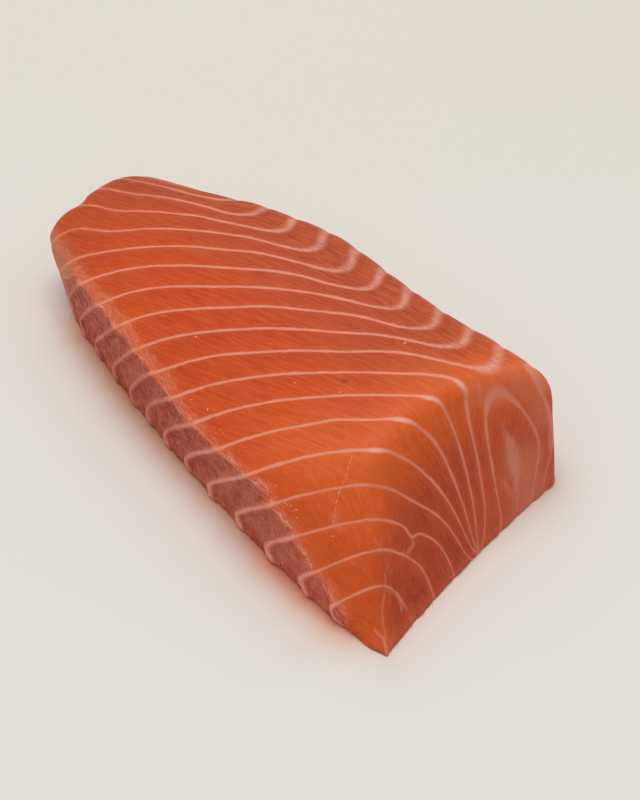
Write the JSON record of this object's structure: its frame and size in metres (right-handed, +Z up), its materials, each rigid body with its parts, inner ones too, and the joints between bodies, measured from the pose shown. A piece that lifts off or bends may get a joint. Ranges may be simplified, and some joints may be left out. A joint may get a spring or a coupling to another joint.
{
  "type": "raw salmon fillet",
  "caption": "Thick skinless block of raw salmon with slanted cut ends, a rough thin side and fat lines that fan over its near cut.",
  "frame": {"origin": "centre of the footprint's bounding rectangle, on the surface the fillet lies on", "axes": "+X along the length towards the wide near cut end, +Y from the thin side to the thick back, +Z up"},
  "size_m": [0.1628, 0.0722, 0.0331],
  "materials": {
    "salmon_flesh": "moist raw fish flesh, satin, orange with thin pale fat lines, pinkish and rough on the thin side"
  },
  "bodies": {
    "root": {"fillet": "salmon_flesh"}
  },
  "joints": []
}
